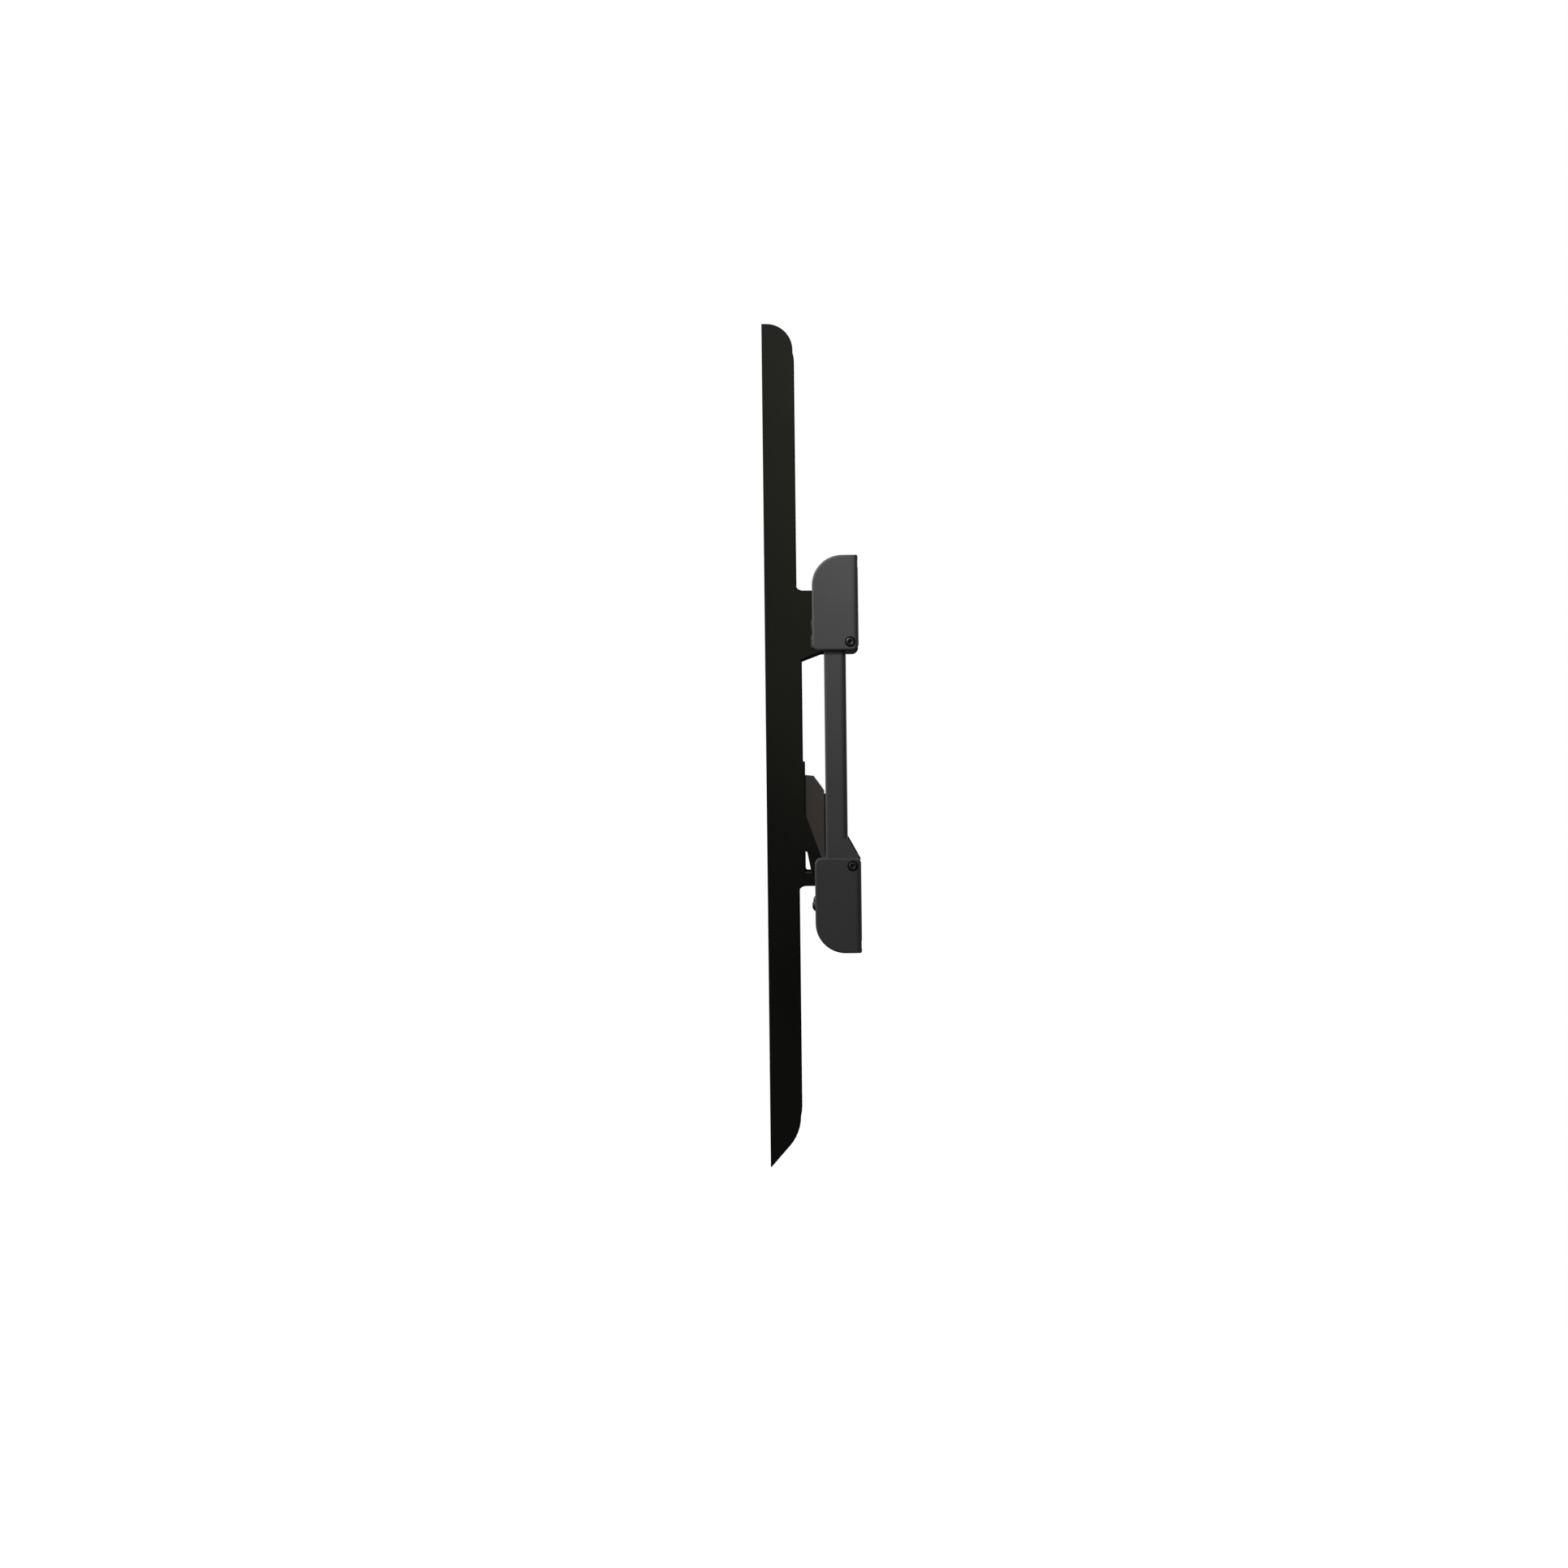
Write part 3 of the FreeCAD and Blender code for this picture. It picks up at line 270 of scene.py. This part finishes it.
def dome(low, high, radius, flat=0.25, count=7):
    """Rings that round off from a full radius at low to a small flat at high, or the other way down."""
    rings = []
    for step in range(count + 1):
        angle = math.pi / 2 * (1 - flat) * step / count
        rings.append((low + (high - low) * math.sin(angle) / math.sin(math.pi / 2 * (1 - flat)),
                      radius * math.cos(angle), plain))
    return rings


def cut_cross(piece, place, axis, size, depth):
    """A cross recess in a screw's head; place is the top of the head."""
    turned = Vector(axis).to_track_quat("Z", "Y").to_matrix()
    mesh = bmesh.new()
    for turn in (0, 90):
        spin = Matrix.Rotation(math.radians(turn + 20), 3, "Z")
        corners = []
        for height, long, wide in ((-depth, 0.55 * size, 0.16 * size), (0.4, size, 0.26 * size)):
            for x, y in ((-long, -wide), (long, -wide), (long, wide), (-long, wide)):
                spot = turned @ (spin @ Vector((x, y, height)))
                corners.append(mesh.verts.new(Vector(place) + spot * MM))
        for face in ((3, 2, 1, 0), (4, 5, 6, 7), (0, 1, 5, 4), (1, 2, 6, 5), (2, 3, 7, 6), (3, 0, 4, 7)):
            mesh.faces.new([corners[index] for index in face])
    cutter = smooth_piece("cutter", mesh)
    recess = piece.modifiers.new("recess", "BOOLEAN")
    recess.object = cutter
    recess.solver = "EXACT"
    recess.use_self = True
    bpy.context.view_layer.update()
    data = bpy.data.meshes.new_from_object(piece.evaluated_get(bpy.context.evaluated_depsgraph_get()))
    piece.modifiers.clear()
    piece.data = data
    bpy.data.objects.remove(cutter)


def finish(piece, node, body, materials):
    """Give a piece that stands for a node its finish and its body."""
    piece.data.materials.clear()
    piece.data.materials.append(materials[NODE_SLOTS[node]])
    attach(piece, body)
    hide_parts(node)


def make_cap_screws(materials):
    """Pan head screws with a cross recess, one in each end cover."""
    head, head_tall, shank = 2.6, 1.1, 1.25
    pitch, past_post = 1.0, 8
    low, high = (Vector(corner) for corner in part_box("end_cap_screws"))
    post_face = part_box("right_side_post")[1][0]
    inside = (high.x - post_face) / MM + past_post
    mesh = bmesh.new()
    tops = []
    for side in SIDES.values():
        for z in (low.z + head * MM, high.z - head * MM):
            top = Vector((side * high.x, (low.y + high.y) / 2, z))
            axis = (side, 0, 0)
            outline = along(-inside, -inside + 0.6, shank * 0.7)
            outline += along(-inside + 1, -head_tall, shank, thread(pitch, 0.14), 40)
            outline += along(-head_tall + 0.01, -head_tall + 0.35, head)
            outline += dome(-head_tall + 0.36, 0, head, 0.45)
            add_turned(mesh, top, axis, outline)
            tops.append((top, axis))
    piece = smooth_piece("cover_screws", mesh)
    for top, axis in tops:
        cut_cross(piece, top, axis, 1.5, 0.75)
    finish(piece, "end_cap_screws", "wall_plate", materials)


def make_level_knob(side_name, materials):
    """A knurled wheel with a grooved waist on a threaded jack screw."""
    node = side_name + "_level_knob"
    low, high = (Vector(corner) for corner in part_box(node))
    wheel = (high.x - low.x) / 2 / MM
    wheel_tall, screw, pitch, teeth = 16.0, 2.0, 1.25, 26
    whole = (high.z - low.z) / MM
    place = middle(node)
    place.z = low.z
    rough = knurl(teeth, 0.075)
    outline = [(0, wheel * 0.55, plain), (0.02, wheel * 0.84, plain), (0.7, wheel, rough)]
    outline += along(0.8, 7.2, wheel, rough) + along(7.5, 8.5, wheel * 0.9) + along(8.8, 15.2, wheel, rough)
    outline += [(15.98, wheel * 0.84, plain), (wheel_tall, screw, plain)]
    outline += along(wheel_tall + 0.1, whole - 0.6, screw, thread(pitch, 0.16), 100)
    outline += [(whole, screw * 0.7, plain)]
    mesh = bmesh.new()
    add_turned(mesh, place, (0, 0, 1), outline, 4 * teeth)
    finish(smooth_piece(side_name + "_knurled_knob", mesh, 60), node, side_name + "_knob", materials)


def make_safety_screw(side_name, materials):
    """A screw with a rounded tip, a knurled collar and a threaded shank."""
    node = side_name + "_safety_screw"
    low, high = (Vector(corner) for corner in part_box(node))
    collar = (high.x - low.x) / 2 / MM
    shank, tip_tall, pitch, teeth = 1.9, 2.2, 0.7, 20
    whole = (high.y - low.y) / MM
    place = middle(node)
    place.y = low.y
    outline = dome(tip_tall, 0, collar, 0.2, 9)[::-1]
    outline += along(tip_tall + 0.1, tip_tall + 0.7, collar, knurl(teeth, 0.05))
    outline += [(tip_tall + 0.8, collar - 0.3, plain)]
    outline += along(tip_tall + 0.82, whole - 0.5, shank, thread(pitch, 0.13), 90)
    outline += [(whole, shank * 0.75, plain)]
    mesh = bmesh.new()
    add_turned(mesh, place, (0, 1, 0), outline, 4 * teeth)
    finish(smooth_piece(side_name + "_pointed_screw", mesh, 60), node, side_name + "_safety", materials)


def make_pins(node, body, materials, places, head_up, head_down):
    """Upright pivot pins with domed, peened heads."""
    head, head_tall, shank = 5.2, 1.4, 3.5
    low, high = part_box(node)
    whole = (high[2] - low[2]) / MM
    y = (low[1] + high[1]) / 2
    mesh = bmesh.new()
    for x in places:
        outline = [(0, shank - 0.4, plain), (0.4, shank, plain)]
        if head_down:
            outline = [(0, 1.5, plain), (0.12, 1.9, plain)]
            outline += [(head_tall - height, radius, form)
                        for height, radius, form in dome(0.5, 1.3, head)[::-1]]
            outline += [(head_tall - 0.02, head - 0.15, plain), (head_tall, shank, plain)]
        if head_up:
            outline += [(whole - head_tall, shank, plain), (whole - head_tall + 0.02, head - 0.15, plain)]
            outline += dome(whole - head_tall + 0.5, whole - 0.1, head)
            outline += [(whole - 0.1, 1.9, plain), (whole, 1.5, plain)]
        else:
            outline += [(whole - 0.4, shank, plain), (whole, shank - 0.4, plain)]
        add_turned(mesh, (x, y, low[2]), (0, 0, 1), outline)
    finish(smooth_piece(node + "_domed", mesh), node, body, materials)


def make_all_pins(materials):
    """The arms' pins at the wall, at the head and at the elbows."""
    head = 5.2 * MM
    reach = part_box("wall_pivot_pins")[1][0] - head
    make_pins("wall_pivot_pins", "wall_plate", materials, (-reach, reach), True, False)
    make_pins("head_pivot_pins", "head_carrier", materials, (-reach, reach), False, True)
    for side_name in SIDES:
        node = side_name + "_elbow_pin"
        make_pins(node, side_name + "_inner_arm", materials, (middle(node).x,), True, True)


def make_tilt_bolts(materials):
    """Hexagon bolts with a collar, and lock nuts on the inner ends."""
    node = "tilt_bolts"
    low, high = (Vector(corner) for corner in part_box(node))
    reach, y, z = high.x, (low.y + high.y) / 2, (low.z + high.z) / 2
    corner = (high.z - low.z) / 2 / MM
    past_cheek = 6
    whole = (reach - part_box("pan_yoke")[1][0]) / MM + past_cheek
    mesh = bmesh.new()
    for side in SIDES.values():
        outline = [(0, 2.2, plain), (0.3, 2.5, plain)] + along(0.6, 0.9, 2.5)
        outline += [(0.92, corner * 0.72, plain), (1.2, corner * 0.9, hexagon)]
        outline += along(1.3, 2.9, corner, hexagon)
        outline += [(3.0, 2.5, plain), (whole - 3.2, 2.5, plain), (whole - 3.19, corner, plain)]
        outline += [(whole - 2.7, corner, plain), (whole - 2.6, corner * 0.93, hexagon)]
        outline += [(whole - 0.4, corner * 0.93, hexagon), (whole - 0.1, corner * 0.74, plain)]
        outline += [(whole, corner * 0.6, plain)]
        place = Vector((side * (reach - whole * MM), y, z))
        add_turned(mesh, place, (side, 0, 0), outline)
    finish(smooth_piece("tilt_hexagon_bolts", mesh, 25), node, "pan_head", materials)


# ---------------------------------------------------------------- welds

def weld_bead(mesh, start, end, radius=1.3):
    """A scalloped bead between two places, given in metres."""
    start, end = Vector(start), Vector(end)
    way = end - start
    ripples = max(4, round(way.length / MM / 1.6))
    turned = way.to_track_quat("Z", "Y").to_matrix()
    rings = []
    count, steps = ripples * 4, 10
    for index in range(count + 1):
        share = index / count
        ends = min(1.0, math.sqrt(max(0.0, 1 - (2 * share - 1) ** 8)) + 0.25)
        reach = radius * MM * ends * (1 - 0.16 * ((share * ripples) % 1))
        centre = start + way * share
        rings.append([mesh.verts.new(centre + turned @ Vector((reach * math.cos(math.tau * step / steps),
                                                               reach * math.sin(math.tau * step / steps), 0)))
                      for step in range(steps)])
    for low, high in zip(rings, rings[1:]):
        for step in range(steps):
            after = (step + 1) % steps
            mesh.faces.new((low[step], low[after], high[after], high[step]))
    mesh.faces.new(rings[0][::-1])
    mesh.faces.new(rings[-1])


def make_welds(materials):
    """Painted weld beads on the wall plate and on the tilting frame."""
    bead_long, from_edge, from_face = 0.016, 0.004, 0.0006
    frame_low, frame_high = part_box("face_plate")
    upper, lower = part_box("upper_tv_rail"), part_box("lower_tv_rail")
    web_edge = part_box("centre_bracket")[1][0]
    beads = {"wall_plate": [], "tilt_frame": []}
    for side_name, side in SIDES.items():
        inner = side * frame_high[0]
        back = frame_high[1]
        for share in (0.12, 0.42, 0.72):
            z = frame_low[2] + (frame_high[2] - frame_low[2]) * share
            beads["tilt_frame"].append(((inner, back, z), (inner, back, z + bead_long)))
        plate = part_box(side_name + "_frame_side")
        for rail in (upper, lower):
            for x in (plate[0][0], plate[1][0]):
                for z in (rail[0][2], rail[1][2]):
                    front, rear = rail[0][1] + from_face, rail[1][1] - from_face
                    beads["tilt_frame"].append(((x, front, z), (x, rear, z)))
        for rail in ("upper_wall_rail", "lower_wall_rail"):
            rail_low, rail_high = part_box(rail)
            x, y = side * web_edge, rail_low[1]
            beads["wall_plate"].append(((x, y, rail_low[2] + from_edge), (x, y, rail_high[2] - from_edge)))
    for body, runs in beads.items():
        mesh = bmesh.new()
        for start, end in runs:
            weld_bead(mesh, start, end)
        piece = smooth_piece(body + "_welds", mesh, 80)
        piece.data.materials.append(materials["frame_paint"])
        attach(piece, body)


# ---------------------------------------------------------------- stage

def make_surround():
    """A pale surround behind the mount, whose light is soft and comes from above and from the front."""
    world = bpy.data.worlds.new("surround")
    world.use_nodes = True
    bpy.context.scene.world = world
    tree = world.node_tree
    tree.nodes.clear()
    place = tree.nodes.new("ShaderNodeTexCoord")
    split = tree.nodes.new("ShaderNodeSeparateXYZ")
    tree.links.new(place.outputs["Generated"], split.inputs["Vector"])
    height = remap(tree, split.outputs["Z"], 0.1, 0.95, -0.2, 0.7)
    front = remap(tree, split.outputs["Y"], 1.0, 0.15, -0.4, 0.6)
    both = tree.nodes.new("ShaderNodeMath")
    both.operation = "MULTIPLY"
    tree.links.new(height, both.inputs[0])
    tree.links.new(front, both.inputs[1])
    soft = tree.nodes.new("ShaderNodeBackground")
    tree.links.new(both.outputs["Value"], soft.inputs["Strength"])
    pale = tree.nodes.new("ShaderNodeBackground")
    pale.inputs["Strength"].default_value = 1.0
    for node in (soft, pale):
        node.inputs["Color"].default_value = (1, 1, 1, 1)
    path = tree.nodes.new("ShaderNodeLightPath")
    choose = tree.nodes.new("ShaderNodeMixShader")
    tree.links.new(path.outputs["Is Camera Ray"], choose.inputs["Fac"])
    tree.links.new(soft.outputs["Background"], choose.inputs[1])
    tree.links.new(pale.outputs["Background"], choose.inputs[2])
    out = tree.nodes.new("ShaderNodeOutputWorld")
    tree.links.new(choose.outputs["Shader"], out.inputs["Surface"])


def hang_light(light, place, target):
    """Put a light in the scene, facing a target."""
    lamp = bpy.data.objects.new(light.name, light)
    bpy.context.scene.collection.objects.link(lamp)
    lamp.location = place
    lamp.rotation_euler = (Vector(target) - Vector(place)).to_track_quat("-Z", "Y").to_euler()
    return lamp


def area_light(name, place, size, power, target=(0, 0, 0)):
    """A square soft light that faces a target."""
    light = bpy.data.lights.new(name, "AREA")
    light.size = size
    light.energy = power
    return hang_light(light, place, target)


def spot_light(name, place, target, power, angle, size):
    """A round light with a soft rim."""
    light = bpy.data.lights.new(name, "SPOT")
    light.energy = power
    light.spot_size = math.radians(angle)
    light.spot_blend = 1.0
    light.shadow_soft_size = size
    return hang_light(light, place, target)


def light_only(lamp, piece, state="INCLUDE"):
    """Let a light reach one piece only, or every piece but that one."""
    reached = bpy.data.collections.new(lamp.name + "_reach")
    reached.objects.link(piece)
    reached.collection_objects[0].light_linking.link_state = state
    lamp.light_linking.receiver_collection = reached


def make_floor():
    """A plain pale floor below the mount, which throws no light back on it."""
    bpy.ops.mesh.primitive_circle_add(vertices=96, radius=14, fill_type="NGON", location=(0, 0, -0.62))
    floor = bpy.context.object
    floor.name = "floor"
    material, tree, shader, place = new_material("pale_floor")
    mottle = remap(tree, noise(tree, place, 3, 3), 0, 1)
    pale = mix_colours(tree, mottle, (0.84, 0.84, 0.84), (0.86, 0.86, 0.86))
    tree.links.new(pale, shader.inputs["Base Color"])
    shader.inputs["Roughness"].default_value = 0.9
    floor.data.materials.append(material)
    floor.visible_diffuse = False
    floor.visible_glossy = False
    return floor


def make_stage():
    """The surround, the floor under a sun of its own, two soft lights and two spots with soft rims."""
    make_surround()
    floor = make_floor()
    overhead = bpy.data.lights.new("floor_light", "SUN")
    overhead.energy = 2.6
    overhead.angle = math.radians(50)
    light_only(hang_light(overhead, (0, 0, 3), (0, 0, 0)), floor)
    lamps = [
        area_light("front_soft", (-0.9, -2.6, 1.5), 1.6, 34),
        area_light("rear_soft", (-2.4, 1.9, 1.3), 1.4, 110),
        spot_light("side_key", (2.2, -1.6, 1.9), (0.33, -0.02, 0.30), 600, 9.5, 0.12),
        spot_light("side_fill", (1.9, -2.1, 0.9), (0.33, -0.02, 0.035), 70, 4.2, 0.08),
    ]
    for lamp in lamps:
        light_only(lamp, floor, "EXCLUDE")


def make_camera():
    """A long lens that looks along the wall from the right end, rolled a little."""
    camera = bpy.data.cameras.new("camera")
    camera.sensor_width = 36.0
    camera.lens = 636.0
    camera.clip_end = 60.0
    eye = bpy.data.objects.new("camera", camera)
    bpy.context.scene.collection.objects.link(eye)
    eye.location = (15.0, -0.0083, 0.0043)
    target = Vector((0.33, -0.0404, -0.0155))
    aim = (target - eye.location).to_track_quat("-Z", "Y").to_matrix().to_4x4()
    roll = Matrix.Rotation(math.radians(-0.65), 4, "Z")
    eye.rotation_euler = (aim @ roll).to_euler()
    bpy.context.scene.camera = eye
    bpy.context.scene.view_settings.view_transform = "Standard"


make_camera()
make_stage()
materials = make_materials()
paint_nodes(materials)
make_cap_screws(materials)
for side_name in SIDES:
    make_level_knob(side_name, materials)
    make_safety_screw(side_name, materials)
make_all_pins(materials)
make_tilt_bolts(materials)
make_welds(materials)
